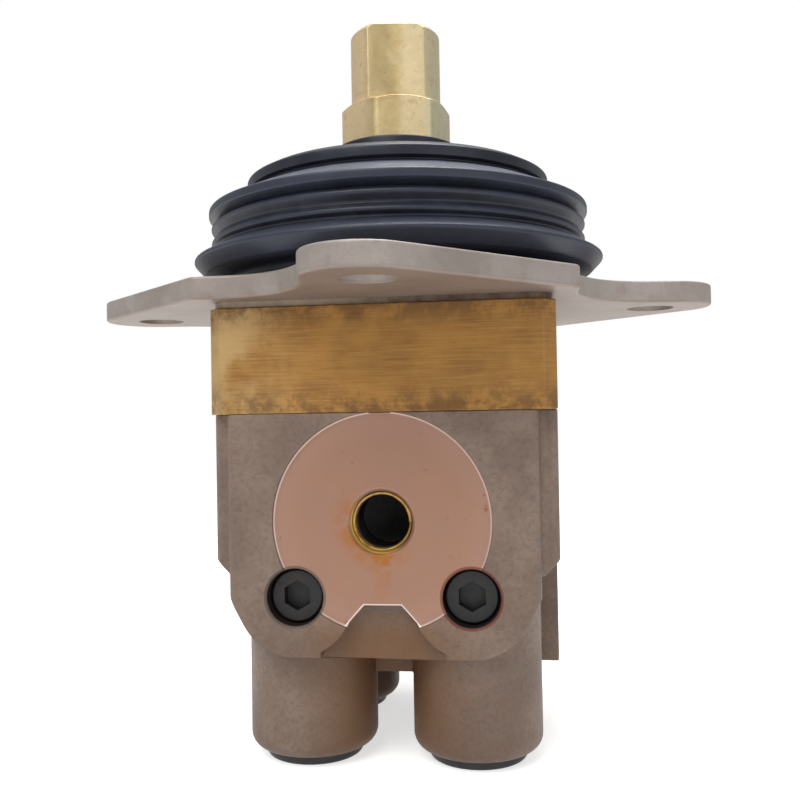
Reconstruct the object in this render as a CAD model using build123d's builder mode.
from build123d import *
import math
import os

# A pilot valve worked by a lever: four push rods under a swash disc press on four metering
# spools in a cast body. Millimetres, +Z up, the origin at the centre of the mounting plate's
# underside. The front port faces -Y. Rods 1 to 4 stand at the corners, going round from +X+Y.

os.makedirs("parts", exist_ok=True)

# ---------------------------------------------------------------- driving dimensions
# Stack, from the mounting plate downwards
plate_t = 4.5              # mounting plate
retainer_t = 1.2           # plate that holds the rod guides down
retainer_inset = 0.8
block_h = 21.0             # guide block
block_w = 68.0             # guide block and body across the flats
block_corner = 2.4         # guide block's corner chamfer
body_h = 68.5              # body, from the guide block to the foot of the bosses
rod_pitch = 34.2           # spacing of the rods along X and Y

# Mounting plate: a square turned by 45 degrees, with a nose at each corner
plate_apothem = 52.5
nose_side_deg = 79.0       # slope of each nose's short side
notch_half = 38.4          # reach of the straight edge beside a nose
nose_foot_x = 13.6         # where that edge would meet the nose without its fillet
nose_tip_r = 10.6
nose_foot_r = 19.0
notch_corner_r = 3.0
mount_pcd = 112.0
mount_turn_deg = 2.0       # the holes' turn from the X and Y axes
mount_hole_r = 5.0
plate_edge_r = 0.6

# Body
pad_step = 3.7             # height of the raised pad on each face
pad_corner_r = 1.6
side_pad_h = 31.8          # how far down the side pads reach
side_pad_chamfer = 3.0
gallery_drop = 35.6        # gallery axis below the body's top
lobe_r = 11.6              # casting round each gallery
notch_top_drop = 37.1      # roof of the notch between the lobes
notch_roof_w = 7.2
notch_flank_w = 13.1
notch_flank_drop = 40.4
notch_foot_w = 24.0        # width of the notch's open foot
boss_foot_r = 3.0
web_w = 36.0
web_drop = 53.8
skirt_drop = 47.9          # foot of the skirt that joins the bosses
side_boss_w = 24.0
side_boss_drop = 53.0
side_boss_r = 2.0

# Ports and drillings
port_drop = 21.15          # front and rear port axis below the body's top
port_r = 5.72              # core of a G 1/4 thread
port_depth = 13.5
port_chamfer = 0.8
spotface_r = 21.25
spotface_depth = 0.8
outlet_depth = 14.0
drilling_r = 2.5
plug_r = 5.4
plug_h = 4.0
plug_recess = 2.5
plug_rim = 0.6             # countersink round each plug
plug_socket_af = 5.0
plug_socket_depth = 2.5
plug_chamfer = 0.5
cap_h = 1.9
cap_flange_r = 10.0
cap_stem_h = 9.0
cap_wall = 1.2
cap_edge_r = 0.8

# Spool chambers
chamber_r = 9.5
chamber_depth = 30.8
spool_r = 4.0
spool_travel = 1.6
shim_t = 1.0
shim_bore_r = 6.6

# Push rods, guides and seals
rod_r = 4.5
rod_pocket_r = 3.6
guide_r = 10.0
guide_h = 14.0
seal_h = 2.6
seal_groove_h = 3.0
seal_groove_r = 7.2
guide_chamfer = 0.6
seal_slot_w = 0.7
seal_slot_h = 1.1
ring_w = 1.3
ring_h = 2.2
seat_flange_r = 8.9
seat_flange_t = 2.0
seat_tube_r = 4.7
seat_floor_t = 1.7
seat_edge_r = 0.5
seat_drop = 8.8            # pocket below the seat's flange
rod_pocket_h = 7.0         # pocket in the rod's foot
spool_head_r = 3.2
spool_head_t = 1.5
spool_stem_r = 2.2
spool_bore_r = 2.0
spool_bore_h = 9.0
spool_groove_h = 3.2
spool_groove_depth = 1.2
spool_groove_lift = -5.0
shoulder_t = 1.0           # spool shoulder above the chamber's floor
washer_t = 1.2
washer_r = 6.2

# Springs of rectangular wire
return_wire = 1.7
return_mean_r = 7.7
return_turns = 4.5
metering_wire = 1.0
metering_mean_r = 5.4
metering_turns = 5.0

# Universal joint and swash disc
tilt_deg = 19.0
pivot_h = 15.5             # pivot above the mounting plate's underside
rod_gap = 0.35             # rod tip to swash disc at rest
pin_r = 2.5
ear_r = 4.6
ear_t = 4.0
cross_half = 5.0
cross_chamfer = 0.6
base_flange_r = 12.5
base_flange_t = 3.0
stud_r = 7.0
stud_len = 17.0
fork_floor = 8.0           # underside of the upper fork's crown above the pivot
crown_r = 11.5
crown_t = 3.0
shank_r = 7.0
disc_r = 29.0
disc_t = 4.0
disc_hub_r = 15.5
disc_hub_t = 4.0
disc_rim_r = 1.0

# Nuts and the connector for the handle
adjuster_r = 11.5
adjuster_h = 7.0
adjuster_face_r = 10.0
nut_af = 22.0
nut_round_r = 12.45
nut_face_step = 0.6        # reach of the nut's end cone inside its flats
nut_h = 9.5
nut_turn_deg = 14.0
nut_lift = 0.3             # step of the adjusting nut's face under the lock nut
connector_r = 10.15
connector_h = 16.7
connector_af = 16.0
connector_turn_deg = 8.0
connector_chamfer = 0.7
handle_thread_r = 5.1
connector_grip = 4.0       # how far the shank enters the connector
grip_r = 6.0

# Boot
boot_lip_r = 46.1
boot_lip_z = 11.4
boot_rib_r = 42.2
boot_rib_depth = 1.7
boot_wall = 1.8
boot_ledge_r = 33.9
boot_ledge_z = 27.4
boot_ledge_h = 2.0
boot_dome_z = 32.2         # height of the dome half way to the neck
boot_neck_r = 14.3
boot_neck_z = 37.4
boot_ring_r = 36.5
boot_ring_t = 3.0
boot_ring_h = 4.4
boot_ring_lip = 1.1

# Seals between guide block and body
block_seal_r = 10.6
block_seal_w = 1.8
block_seal_h = 1.5

# Screws between guide block and body
screw_pitch_r = 27.0
screw_r = 3.0
screw_head_r = 5.0
screw_head_h = 6.0
screw_len = 26.0
screw_hole_depth = 12.5
screw_clearance_r = 3.3
screw_socket_af = 5.0

# Clearances
fit = 0.05                 # running and screwed fits
soft_gap = 0.3             # rubber beside metal
side_gap = 0.2             # forks beside the cross
rod_clear = 0.9            # plates round the rods, disc round the fork's crown
spool_gap = 0.04
stud_clear = 0.5
thrust_gap = 0.15          # spring ends, shims and washers

# ---------------------------------------------------------------- heights and places
retainer_z = -retainer_t
body_z = retainer_z - block_h
foot_z = body_z - body_h
gallery_z = body_z - gallery_drop
port_z = body_z - port_drop
chamber_z = body_z - chamber_depth
outlet_z = foot_z + outlet_depth
spool_foot_z = outlet_z + spool_travel + 1.0
ring_z = retainer_z - guide_h / 2
face = block_w / 2
pad = face - pad_step
pad_w = 2 * pad
rod_xy = rod_pitch / 2
boss_r = pad - rod_xy      # the bosses' outer sides run on from the body's corners
rod_reach = rod_xy * math.sqrt(2)
rod_stroke = rod_reach * math.tan(math.radians(tilt_deg)) / math.cos(math.radians(tilt_deg))
corners = [(rod_xy, rod_xy), (-rod_xy, rod_xy), (-rod_xy, -rod_xy), (rod_xy, -rod_xy)]
cross_points = [(screw_pitch_r, 0), (0, screw_pitch_r), (-screw_pitch_r, 0), (0, -screw_pitch_r)]
guide_foot_z = retainer_z - guide_h
seat_z = guide_foot_z - rod_stroke - 0.25
disc_z = pivot_h + rod_r + rod_gap
crown_z = pivot_h + fork_floor
hub_z = crown_z + crown_t
adjuster_z = hub_z + disc_hub_t
nut_z = adjuster_z + adjuster_h + nut_lift
connector_z = nut_z + nut_h
connector_top = connector_z + connector_h
joint_plane = Plane((0, 0, pivot_h), x_dir=(1, 1, 0), z_dir=(0, 0, 1))


def finish(part, label):
    """Names a finished piece and writes it as parts/<label>.step."""
    part.label = label
    export_step(part, f"parts/{label}.step")


def countersink(radius, rim, start, direction):
    """Opens the mouth of a round hole by rim, on its radius and its depth."""
    with Locations(Plane(start, z_dir=direction)):
        Cone(radius + rim, radius, rim, align=(Align.CENTER, Align.CENTER, Align.MIN),
             mode=Mode.SUBTRACT)


def drill(radius, start, direction, depth, pointed=True):
    """Cuts a round hole from start along direction, with a drill point at its end."""
    with Locations(Plane(start, z_dir=direction)):
        Cylinder(radius, depth, align=(Align.CENTER, Align.CENTER, Align.MIN), mode=Mode.SUBTRACT)
        if pointed:
            with Locations((0, 0, depth)):
                Cone(radius, 0.2, radius / 2, align=(Align.CENTER, Align.CENTER, Align.MIN),
                     mode=Mode.SUBTRACT)


# ---------------------------------------------------------------- valve body
# what the casting leaves free under its side pads and round its two front-to-rear galleries
pad_foot_z = body_z - side_pad_h
with BuildPart() as undercut:
    with BuildSketch(Plane.XZ.offset(-block_w)):
        Polygon(
            (face - side_pad_chamfer, pad_foot_z),
            (block_w, pad_foot_z + side_pad_chamfer + block_w - face),
            (block_w, foot_z),
            (-block_w, foot_z),
            (-block_w, pad_foot_z + side_pad_chamfer + block_w - face),
            (side_pad_chamfer - face, pad_foot_z),
            align=None,
        )
    extrude(amount=2 * block_w)
    with BuildSketch(Plane.XZ.offset(-block_w)) as lobes:
        with Locations((0, body_z)):
            Rectangle(pad_w, gallery_drop, align=(Align.CENTER, Align.MAX))
        with Locations((-rod_xy, gallery_z), (rod_xy, gallery_z)):
            Circle(lobe_r)
        make_hull()
    extrude(amount=2 * block_w, mode=Mode.SUBTRACT)
    with BuildSketch(Plane.XZ.offset(-block_w)) as notch:
        Polygon(
            (-notch_roof_w / 2, body_z - notch_top_drop),
            (notch_roof_w / 2, body_z - notch_top_drop),
            (notch_flank_w / 2, body_z - notch_flank_drop),
            (notch_foot_w / 2, body_z - notch_flank_drop),
            (notch_foot_w / 2, body_z - web_drop),
            (-notch_foot_w / 2, body_z - web_drop),
            (-notch_foot_w / 2, body_z - notch_flank_drop),
            (-notch_flank_w / 2, body_z - notch_flank_drop),
            align=None,
        )
        with Locations((-rod_xy, gallery_z), (rod_xy, gallery_z)):
            Circle(lobe_r, mode=Mode.SUBTRACT)
    extrude(amount=2 * block_w)

with BuildPart() as valve_body:
    # a column with a raised pad on each of its four faces
    with BuildSketch(Plane.XY.offset(body_z)) as plan:
        Rectangle(pad_w, block_w)
        Rectangle(block_w, pad_w)
        fillet(plan.vertices(), pad_corner_r)
    extrude(amount=-web_drop)
    add(undercut.part, mode=Mode.SUBTRACT)
    # skirt round the four bosses, a web below it, and the foot of the cross gallery's boss
    with BuildSketch(Plane.XY.offset(body_z - port_drop)):
        with Locations(*corners):
            Circle(boss_r)
        make_hull()
    extrude(amount=port_drop - skirt_drop)
    with BuildSketch(Plane.XY.offset(body_z - port_drop)):
        Rectangle(web_w, web_w)
    extrude(amount=port_drop - web_drop)
    with BuildSketch(Plane.YZ) as side_boss:
        with Locations((0, body_z - port_drop)):
            Rectangle(side_boss_w, side_boss_drop - port_drop, align=(Align.CENTER, Align.MAX))
        fillet(side_boss.vertices().group_by(Axis.Y)[0], side_boss_r)
    extrude(amount=face)
    # four bosses that hold the spools
    with BuildSketch(Plane.XY.offset(foot_z)):
        with Locations(*corners):
            Circle(boss_r)
    extrude(amount=body_h - port_drop)
    fillet(valve_body.edges().group_by(Axis.Z)[0], boss_foot_r)
    # front and rear ports, each in a spot face
    for side in (-1, 1):
        drill(spotface_r, (0, side * face, port_z), (0, -side, 0), spotface_depth, pointed=False)
        drill(port_r, (0, side * face, port_z), (0, -side, 0), port_depth)
        port_rim = valve_body.edges().filter_by(GeomType.CIRCLE).filter_by(
            lambda edge, y=side * (face - spotface_depth):
            abs(edge.radius - port_r) < 0.01 and abs(edge.center().Y - y) < 0.01)
        chamfer(port_rim, port_chamfer)
    # spool chambers, spool bores, and an outlet under each
    for x, y in corners:
        drill(chamber_r, (x, y, body_z), (0, 0, -1), chamber_depth, pointed=False)
        drill(spool_r, (x, y, chamber_z), (0, 0, -1), chamber_z - outlet_z, pointed=False)
        drill(port_r, (x, y, foot_z), (0, 0, 1), outlet_depth)
    # pressure galleries: one along each lobe, joined by a cross drilling from the side boss
    for x in (-rod_xy, rod_xy):
        drill(drilling_r, (x, -face, gallery_z), (0, 1, 0), block_w, pointed=False)
    drill(drilling_r, (face, 0, gallery_z), (-1, 0, 0), face + rod_xy)
    for x in (-rod_xy, rod_xy):
        for side in (-1, 1):
            drill(plug_r + fit, (x, side * face, gallery_z), (0, -side, 0), plug_recess + plug_h)
            countersink(plug_r + fit, plug_rim, (x, side * face, gallery_z), (0, -side, 0))
    drill(plug_r + fit, (face, 0, gallery_z), (-1, 0, 0), plug_recess + plug_h)
    countersink(plug_r + fit, plug_rim, (face, 0, gallery_z), (-1, 0, 0))
    # seal grooves round the chambers, and the screw holes between them
    with BuildSketch(Plane.XY.offset(body_z)):
        with Locations(*corners):
            Circle(block_seal_r + block_seal_w + soft_gap)
            Circle(block_seal_r - soft_gap, mode=Mode.SUBTRACT)
    extrude(amount=-block_seal_h, mode=Mode.SUBTRACT)
    for x, y in cross_points:
        drill(screw_r + fit, (x, y, body_z), (0, 0, -1), screw_hole_depth)
finish(valve_body.part, "valve_body")

with BuildPart() as gallery_plugs:
    for x in (-rod_xy, rod_xy):
        for side in (-1, 1):
            outward = Plane((x, side * (face - plug_recess), gallery_z), z_dir=(0, side, 0))
            with Locations(outward):
                Cylinder(plug_r, plug_h, align=(Align.CENTER, Align.CENTER, Align.MAX))
    with Locations(Plane((face - plug_recess, 0, gallery_z), z_dir=(1, 0, 0))):
        Cylinder(plug_r, plug_h, align=(Align.CENTER, Align.CENTER, Align.MAX))
    plug_faces = gallery_plugs.faces().filter_by(
        lambda f: f.geom_type == GeomType.PLANE
        and max(abs(f.center().X), abs(f.center().Y)) > face - plug_recess - 0.1)
    chamfer(plug_faces.edges(), plug_chamfer)
    for x in (-rod_xy, rod_xy):
        for side in (-1, 1):
            with BuildSketch(Plane((x, side * (face - plug_recess), gallery_z), z_dir=(0, side, 0))):
                RegularPolygon(plug_socket_af / 2, 6, major_radius=False)
            extrude(amount=-plug_socket_depth, mode=Mode.SUBTRACT)
    with BuildSketch(Plane((face - plug_recess, 0, gallery_z), z_dir=(1, 0, 0))):
        RegularPolygon(plug_socket_af / 2, 6, major_radius=False)
    extrude(amount=-plug_socket_depth, mode=Mode.SUBTRACT)
finish(gallery_plugs.part, "gallery_plugs")

# plastic caps that close the outlets until the hoses are fitted
with BuildPart() as outlet_caps:
    with BuildSketch(Plane.XY.offset(foot_z)):
        with Locations(*corners):
            Circle(cap_flange_r)
    extrude(amount=-cap_h)
    fillet(outlet_caps.edges().group_by(Axis.Z)[0], cap_edge_r)
    with BuildSketch(Plane.XY.offset(foot_z)):
        with Locations(*corners):
            Circle(port_r - fit)
            Circle(port_r - fit - cap_wall, mode=Mode.SUBTRACT)
    extrude(amount=cap_stem_h)
finish(outlet_caps.part, "outlet_caps")

# ---------------------------------------------------------------- guide block
with BuildPart() as guide_block:
    with BuildSketch(Plane.XY.offset(body_z)) as block_plan:
        Rectangle(block_w, block_w)
        chamfer(block_plan.vertices(), block_corner)
    extrude(amount=block_h)
    for x, y in corners:
        drill(guide_r, (x, y, retainer_z), (0, 0, -1), guide_h, pointed=False)
        drill(chamber_r, (x, y, retainer_z), (0, 0, -1), block_h, pointed=False)
    drill(stud_r + fit, (0, 0, retainer_z), (0, 0, -1), stud_len)
    for x, y in cross_points:
        drill(screw_clearance_r, (x, y, retainer_z), (0, 0, -1), block_h, pointed=False)
        drill(screw_head_r + soft_gap, (x, y, retainer_z), (0, 0, -1), screw_head_h + fit,
              pointed=False)
finish(guide_block.part, "guide_block")

with BuildPart() as body_screws:
    for x, y in cross_points:
        with Locations((x, y, retainer_z - fit)):
            Cylinder(screw_head_r, screw_head_h, align=(Align.CENTER, Align.CENTER, Align.MAX))
        with Locations((x, y, retainer_z - fit - screw_head_h)):
            Cylinder(screw_r, screw_len, align=(Align.CENTER, Align.CENTER, Align.MAX))
    with BuildSketch(Plane.XY.offset(retainer_z - fit)):
        with Locations(*cross_points):
            RegularPolygon(screw_socket_af / 2, 6, major_radius=False)
    extrude(amount=-screw_head_h / 2, mode=Mode.SUBTRACT)
finish(body_screws.part, "body_screws")



def at_rods(part):
    """Adds a copy of a part made on the central axis at each of the four rods."""
    with Locations(*[(x, y, 0) for x, y in corners]):
        add(part)


def tube(inner_r, outer_r, low_z, height):
    """Adds a plain ring on the central axis."""
    with BuildPart(mode=Mode.PRIVATE) as ring:
        with Locations((0, 0, low_z)):
            Cylinder(outer_r, height, align=(Align.CENTER, Align.CENTER, Align.MIN))
            Cylinder(inner_r, height, align=(Align.CENTER, Align.CENTER, Align.MIN),
                     mode=Mode.SUBTRACT)
    return ring.part


with BuildPart() as block_seals:
    at_rods(tube(block_seal_r, block_seal_r + block_seal_w, body_z - block_seal_h, block_seal_h - fit))
finish(block_seals.part, "block_seals")

# ---------------------------------------------------------------- rod guides and their seals
with BuildPart() as rod_guide:
    with BuildSketch(Plane.XZ) as guide_profile:
        with Locations((rod_r + fit, guide_foot_z)):
            Rectangle(guide_r - rod_r - 2 * fit, guide_h, align=(Align.MIN, Align.MIN))
        with Locations((0, retainer_z)):
            Rectangle(seal_groove_r, seal_groove_h, align=(Align.MIN, Align.MAX), mode=Mode.SUBTRACT)
        with Locations((guide_r, ring_z)):
            Rectangle(ring_w + thrust_gap, ring_h + 2 * thrust_gap, align=(Align.MAX, Align.CENTER),
                      mode=Mode.SUBTRACT)
        chamfer(guide_profile.vertices().group_by(Axis.Y)[0].sort_by(Axis.X)[-1], guide_chamfer)
    revolve(axis=Axis.Z)
with BuildPart() as rod_guides:
    at_rods(rod_guide.part)
finish(rod_guides.part, "rod_guides")

with BuildPart() as guide_rings:
    at_rods(tube(guide_r - ring_w, guide_r - thrust_gap / 2, ring_z - ring_h / 2, ring_h))
finish(guide_rings.part, "guide_rings")

# lip seal: a ring with a groove in its wet side
with BuildPart() as rod_seal:
    with BuildSketch(Plane.XZ) as seal_profile:
        with Locations((rod_r + soft_gap, retainer_z - thrust_gap)):
            Rectangle(seal_groove_r - rod_r - 2 * soft_gap, seal_h, align=(Align.MIN, Align.MAX))
        with Locations(((rod_r + seal_groove_r) / 2, retainer_z - thrust_gap - seal_h)):
            Rectangle(seal_slot_w, seal_slot_h, align=(Align.CENTER, Align.MIN), mode=Mode.SUBTRACT)
    revolve(axis=Axis.Z)
with BuildPart() as rod_seals:
    at_rods(rod_seal.part)
finish(rod_seals.part, "rod_seals")

# ---------------------------------------------------------------- plates
with BuildPart() as retainer_plate:
    with BuildSketch(Plane.XY.offset(retainer_z)) as retainer_plan:
        Rectangle(block_w - 2 * retainer_inset, block_w - 2 * retainer_inset)
        chamfer(retainer_plan.vertices(), block_corner)
        with Locations(*corners):
            Circle(rod_r + rod_clear, mode=Mode.SUBTRACT)
        Circle(stud_r + fit, mode=Mode.SUBTRACT)
    extrude(amount=retainer_t)
finish(retainer_plate.part, "retainer_plate")

nose_run = math.tan(math.radians(nose_side_deg))
edge_sum = plate_apothem * math.sqrt(2)
nose_tip_x = (edge_sum - notch_half + nose_foot_x) / (1 + nose_run) - nose_foot_x
nose_tip = (nose_tip_x, nose_tip_x - edge_sum)
quarter = [
    (notch_half - edge_sum, -notch_half),
    (-nose_foot_x, -notch_half),
    nose_tip,
]


def quarter_turns(points):
    """The points, and their copies turned by 90, 180 and 270 degrees."""
    turned = []
    for quarter_turn in range(4):
        for x, y in points:
            for _ in range(quarter_turn):
                x, y = -y, x
            turned.append((x, y))
    return turned


def near(points):
    """A filter for vertices that lie on one of the points."""
    return lambda v: any(math.dist((v.X, v.Y), p) < 0.01 for p in points)


with BuildPart() as mounting_plate:
    with BuildSketch() as plate_plan:
        Polygon(*quarter_turns(quarter), align=None)
        fillet(plate_plan.vertices().filter_by(near(quarter_turns([quarter[0]]))), notch_corner_r)
        fillet(plate_plan.vertices().filter_by(near(quarter_turns([quarter[1]]))), nose_foot_r)
        fillet(plate_plan.vertices().filter_by(near(quarter_turns([quarter[2]]))), nose_tip_r)
    extrude(amount=plate_t)
    rims = mounting_plate.edges().group_by(Axis.Z)
    fillet(rims[-1], plate_edge_r)
    fillet(mounting_plate.edges().group_by(Axis.Z)[0], plate_edge_r)
    with BuildSketch() as plate_holes:
        with PolarLocations(mount_pcd / 2, 4, start_angle=mount_turn_deg):
            Circle(mount_hole_r)
        with Locations(*corners):
            Circle(rod_r + rod_clear)
        Circle(stud_r + fit)
    extrude(amount=plate_t, mode=Mode.SUBTRACT)
finish(mounting_plate.part, "mounting_plate")

# ---------------------------------------------------------------- push rods and spring seats
pocket_low_z = seat_z - seat_flange_t - seat_drop
pocket_high_z = seat_z + rod_pocket_h
with BuildPart() as rod_master:
    with BuildSketch(Plane.XZ) as rod_profile:
        with Locations((0, seat_z)):
            Rectangle(rod_r, pivot_h - seat_z, align=(Align.MIN, Align.MIN))
        with Locations((0, pivot_h)):
            Circle(rod_r)
        with Locations((0, seat_z)):
            Rectangle(rod_pocket_r, rod_pocket_h, align=(Align.MIN, Align.MIN), mode=Mode.SUBTRACT)
        split(bisect_by=Plane.YZ)
    revolve(axis=Axis.Z)

with BuildPart() as seat_master:
    with BuildSketch(Plane.XZ) as seat_profile:
        with Locations((0, seat_z)):
            Rectangle(seat_flange_r, seat_flange_t, align=(Align.MIN, Align.MAX))
            Rectangle(seat_tube_r, seat_flange_t + seat_drop + seat_floor_t,
                      align=(Align.MIN, Align.MAX))
            Rectangle(rod_pocket_r, seat_flange_t + seat_drop, align=(Align.MIN, Align.MAX),
                      mode=Mode.SUBTRACT)
            Rectangle(spool_stem_r + soft_gap, seat_flange_t + seat_drop + seat_floor_t,
                      align=(Align.MIN, Align.MAX), mode=Mode.SUBTRACT)
        fillet(seat_profile.vertices().sort_by(Axis.X)[-2:], seat_edge_r)
    revolve(axis=Axis.Z)

# ---------------------------------------------------------------- spools and their washers
head_low_z = (pocket_low_z + pocket_high_z - spool_head_t) / 2
washer_z = chamber_z + spool_travel + thrust_gap + shoulder_t
with BuildPart() as spool_master:
    with BuildSketch(Plane.XZ) as spool_profile:
        with Locations((0, spool_foot_z)):
            Rectangle(spool_r - spool_gap, washer_z - spool_foot_z, align=(Align.MIN, Align.MIN))
            Rectangle(spool_stem_r, head_low_z + spool_head_t - spool_foot_z,
                      align=(Align.MIN, Align.MIN))
        with Locations((0, head_low_z)):
            Rectangle(spool_head_r, spool_head_t, align=(Align.MIN, Align.MIN))
        with Locations((spool_r - spool_gap, gallery_z + spool_groove_lift)):
            Rectangle(spool_groove_depth, spool_groove_h, align=(Align.MAX, Align.CENTER),
                      mode=Mode.SUBTRACT)
        with Locations((0, spool_foot_z)):
            Rectangle(spool_bore_r, spool_bore_h, align=(Align.MIN, Align.MIN), mode=Mode.SUBTRACT)
    revolve(axis=Axis.Z)

# ---------------------------------------------------------------- springs
def coil(mean_r, wire, low_z, high_z, turns):
    """A coil spring of square wire on the central axis, between two heights."""
    rise = high_z - low_z - wire
    with BuildPart(mode=Mode.PRIVATE) as spring:
        with BuildLine(Plane.XY.offset(low_z + wire / 2), mode=Mode.PRIVATE) as axis_line:
            Helix(rise / turns, rise, mean_r)
        path = axis_line.line
        start = Plane(path @ 0, x_dir=(1, 0, 0), z_dir=path % 0)
        with BuildSketch(start, mode=Mode.PRIVATE) as wire_end:
            Rectangle(wire, wire)
        sweep(wire_end.sketch, path, is_frenet=True)
    return spring.part


shim_top = chamber_z + shim_t
return_coil = coil(return_mean_r, return_wire, shim_top + thrust_gap,
                   seat_z - seat_flange_t - thrust_gap, return_turns)
metering_coil = coil(metering_mean_r, metering_wire, washer_z + washer_t + thrust_gap,
                     seat_z - seat_flange_t - thrust_gap, metering_turns)

with BuildPart() as spring_shims:
    at_rods(tube(shim_bore_r, chamber_r - thrust_gap, chamber_z, shim_t))
finish(spring_shims.part, "spring_shims")

washer_ring = tube(spool_stem_r + fit, washer_r, washer_z, washer_t)
for number, (x, y) in enumerate(corners, start=1):
    for label, master in (
        ("push_rod", rod_master.part),
        ("spring_seat", seat_master.part),
        ("spool", spool_master.part),
        ("spool_washer", washer_ring),
        ("return_spring", return_coil),
        ("metering_spring", metering_coil),
    ):
        with BuildPart() as piece:
            with Locations((x, y, 0)):
                add(master)
        finish(piece.part, f"{label}_{number}")

# ---------------------------------------------------------------- universal joint
with BuildPart() as joint_base:
    with Locations((0, 0, plate_t)):
        Cylinder(base_flange_r, base_flange_t, align=(Align.CENTER, Align.CENTER, Align.MIN))
    ear_axis = Plane(joint_plane.origin, x_dir=(1, -1, 0), z_dir=(1, 1, 0))
    ear_drop = pivot_h - plate_t - base_flange_t
    for side in (-1, 1):
        with BuildSketch(ear_axis.offset(side * (cross_half + side_gap + ear_t / 2))) as base_ear:
            Circle(ear_r)
            Rectangle(2 * ear_r, ear_drop, align=(Align.CENTER, Align.MIN if ear_axis.y_dir.Z < 0
                                                  else Align.MAX))
            Circle(pin_r + fit, mode=Mode.SUBTRACT)
        extrude(amount=ear_t / 2, both=True)
    with Locations((0, 0, plate_t)):
        Cylinder(stud_r, plate_t + retainer_t + stud_len - stud_clear,
                 align=(Align.CENTER, Align.CENTER, Align.MAX))
finish(joint_base.part, "joint_base")

with BuildPart() as joint_cross:
    with Locations(joint_plane):
        Box(2 * cross_half, 2 * cross_half, 2 * cross_half)
    chamfer(joint_cross.edges(), cross_chamfer)
    for direction in ((1, 1, 0), (-1, 1, 0)):
        with Locations(Plane(joint_plane.origin, z_dir=direction)):
            Cylinder(pin_r + fit / 2, 4 * cross_half, mode=Mode.SUBTRACT)
finish(joint_cross.part, "joint_cross")

pin_half = cross_half + side_gap + ear_t
with BuildPart() as joint_pins:
    with Locations(Plane(joint_plane.origin, z_dir=(1, 1, 0))):
        Cylinder(pin_r, 2 * pin_half)
    for side in (-1, 1):
        with Locations(Plane(joint_plane.origin, z_dir=(-side, side, 0))):
            with Locations((0, 0, pin_r + fit)):
                Cylinder(pin_r, pin_half - pin_r - fit,
                         align=(Align.CENTER, Align.CENTER, Align.MIN))
finish(joint_pins.part, "joint_pins")

with BuildPart() as joint_fork:
    with Locations((0, 0, crown_z)):
        Cylinder(crown_r, crown_t, align=(Align.CENTER, Align.CENTER, Align.MIN))
    fork_axis = Plane(joint_plane.origin, x_dir=(1, 1, 0), z_dir=(-1, 1, 0))
    for side in (-1, 1):
        with BuildSketch(fork_axis.offset(side * (cross_half + side_gap + ear_t / 2))) as fork_ear:
            Circle(ear_r)
            Rectangle(2 * ear_r, fork_floor, align=(Align.CENTER, Align.MIN if fork_axis.y_dir.Z > 0
                                                    else Align.MAX))
            Circle(pin_r + fit, mode=Mode.SUBTRACT)
        extrude(amount=ear_t / 2, both=True)
    with Locations((0, 0, hub_z)):
        Cylinder(shank_r - fit, connector_z - hub_z,
                 align=(Align.CENTER, Align.CENTER, Align.MIN))
    with Locations((0, 0, connector_z)):
        Cylinder(grip_r - fit, connector_grip,
                 align=(Align.CENTER, Align.CENTER, Align.MIN))
finish(joint_fork.part, "joint_fork")

# ---------------------------------------------------------------- swash disc and nuts
with BuildPart() as swash_disc:
    with BuildSketch(Plane.XZ) as disc_profile:
        with Locations((0, disc_z)):
            Rectangle(disc_r, disc_t, align=(Align.MIN, Align.MIN))
            Rectangle(disc_hub_r, adjuster_z - disc_z, align=(Align.MIN, Align.MIN))
            Rectangle(crown_r + rod_clear, hub_z - disc_z, align=(Align.MIN, Align.MIN),
                      mode=Mode.SUBTRACT)
            Rectangle(shank_r, adjuster_z - disc_z, align=(Align.MIN, Align.MIN), mode=Mode.SUBTRACT)
        rim_corners = disc_profile.vertices().group_by(Axis.X)[-1]
        fillet(rim_corners, disc_rim_r)
    revolve(axis=Axis.Z)
finish(swash_disc.part, "swash_disc")

with BuildPart() as adjusting_nut:
    with Locations((0, 0, adjuster_z)):
        Cylinder(adjuster_r, adjuster_h, align=(Align.CENTER, Align.CENTER, Align.MIN))
    with Locations((0, 0, adjuster_z + adjuster_h)):
        Cylinder(adjuster_face_r, nut_lift, align=(Align.CENTER, Align.CENTER, Align.MIN))
    with Locations((0, 0, adjuster_z)):
        Cylinder(shank_r, adjuster_h + nut_lift, align=(Align.CENTER, Align.CENTER, Align.MIN),
                 mode=Mode.SUBTRACT)
finish(adjusting_nut.part, "adjusting_nut")

nut_face = -90 + nut_turn_deg
with BuildPart() as lock_nut:
    with BuildSketch(Plane.XY.offset(nut_z)):
        RegularPolygon(nut_af / 2, 6, major_radius=False, rotation=nut_face - 30)
        Circle(shank_r, mode=Mode.SUBTRACT)
    extrude(amount=nut_h)
    # both ends turned to a cone
    with BuildSketch(Plane.XZ) as nut_envelope:
        with Locations((0, nut_z)):
            Rectangle(nut_round_r, nut_h, align=(Align.MIN, Align.MIN))
        chamfer(nut_envelope.vertices().group_by(Axis.X)[-1],
                length=(nut_round_r - nut_af / 2 + nut_face_step) * math.tan(math.radians(30)),
                length2=nut_round_r - nut_af / 2 + nut_face_step)
    revolve(axis=Axis.Z, mode=Mode.INTERSECT)
finish(lock_nut.part, "lock_nut")

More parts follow.
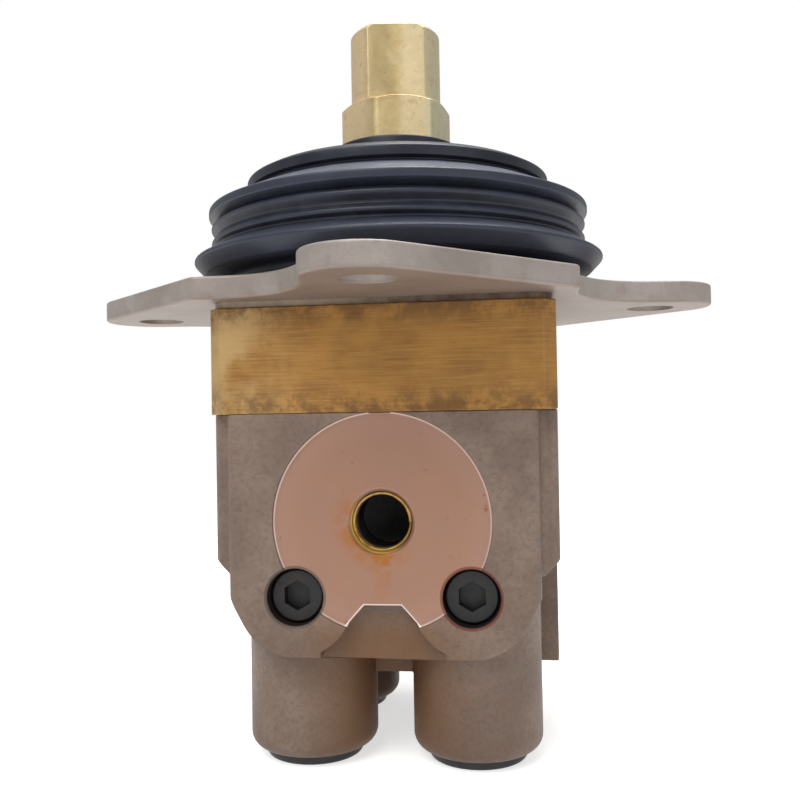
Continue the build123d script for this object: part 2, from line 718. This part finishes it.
with BuildPart() as handle_connector:
    with BuildSketch(Plane.XY.offset(connector_z)):
        Circle(connector_r)
        with Locations(Location((0, 0, 0), (0, 0, connector_turn_deg))):
            Rectangle(2 * connector_r, connector_af, mode=Mode.INTERSECT)
    extrude(amount=connector_h)
    chamfer(handle_connector.edges().group_by(Axis.Z)[-1], connector_chamfer)
    drill(handle_thread_r, (0, 0, connector_top), (0, 0, -1), connector_h, pointed=False)
    drill(grip_r, (0, 0, connector_z), (0, 0, 1), connector_grip + soft_gap, pointed=False)
finish(handle_connector.part, "handle_connector")

# ---------------------------------------------------------------- boot and its ring
with BuildPart() as boot_ring:
    with BuildSketch(Plane.XZ) as ring_profile:
        with Locations((boot_ring_r, plate_t)):
            Rectangle(boot_ring_t, boot_ring_h, align=(Align.MAX, Align.MIN))
        with Locations((boot_ring_r + boot_ring_lip, plate_t + boot_ring_h)):
            Rectangle(boot_ring_t, boot_ring_lip, align=(Align.MAX, Align.MAX))
    revolve(axis=Axis.Z)
finish(boot_ring.part, "boot_ring")

bead_r = boot_ring_r + soft_gap
bead_top = plate_t + boot_ring_h - boot_ring_lip - soft_gap
groove_r = boot_rib_r - boot_rib_depth
inner_r = groove_r - boot_wall
with BuildPart() as boot:
    with BuildSketch(Plane.XZ) as boot_profile:
        with BuildLine():
            outside = Polyline(
                (bead_r, plate_t + soft_gap),
                (bead_r + boot_wall, plate_t + soft_gap),
                (bead_r + boot_wall, boot_lip_z - 4.0),
                (boot_lip_r - 2.8, boot_lip_z - 3.0),
                (boot_lip_r, boot_lip_z),
                (boot_rib_r, boot_lip_z + 2.0),
                (groove_r, boot_lip_z + 2.6),
                (boot_rib_r, boot_lip_z + 3.8),
                (groove_r, boot_lip_z + 5.4),
                (boot_rib_r, boot_lip_z + 7.2),
                (groove_r, boot_lip_z + 8.4),
                (boot_rib_r + 0.2, boot_lip_z + 9.6),
                (boot_rib_r + 0.2, boot_lip_z + 11.2),
                (boot_ledge_r - 0.9, boot_ledge_z - 0.8),
                (boot_ledge_r - 1.3, boot_ledge_z - 0.5),
                (boot_ledge_r, boot_ledge_z),
                (boot_ledge_r, boot_ledge_z + boot_ledge_h),
            )
            dome = ThreePointArc(
                outside @ 1,
                ((boot_ledge_r + boot_neck_r) / 2, boot_dome_z),
                (boot_neck_r, boot_neck_z - 2.8),
            )
            Polyline(
                dome @ 1,
                (boot_neck_r, boot_neck_z),
                (adjuster_r + soft_gap, boot_neck_z),
                (adjuster_r + soft_gap, boot_neck_z - 5.4),
                (boot_ledge_r - 2.6, boot_ledge_z + 0.2),
                (boot_ledge_r - 3.4, boot_ledge_z - 1.0),
                (boot_ledge_r - 2.0, boot_ledge_z - 2.1),
                (inner_r, boot_lip_z + 11.0),
                (inner_r, boot_lip_z + 1.0),
                (boot_lip_r - 3.2, boot_lip_z),
                (boot_lip_r - 4.2, boot_lip_z - 1.2),
                (bead_r + boot_ring_lip, boot_lip_z - 2.0),
                (bead_r + boot_ring_lip, bead_top),
                (bead_r, bead_top),
                (bead_r, plate_t + soft_gap),
            )
        make_face()
    revolve(axis=Axis.Z)
finish(boot.part, "boot")
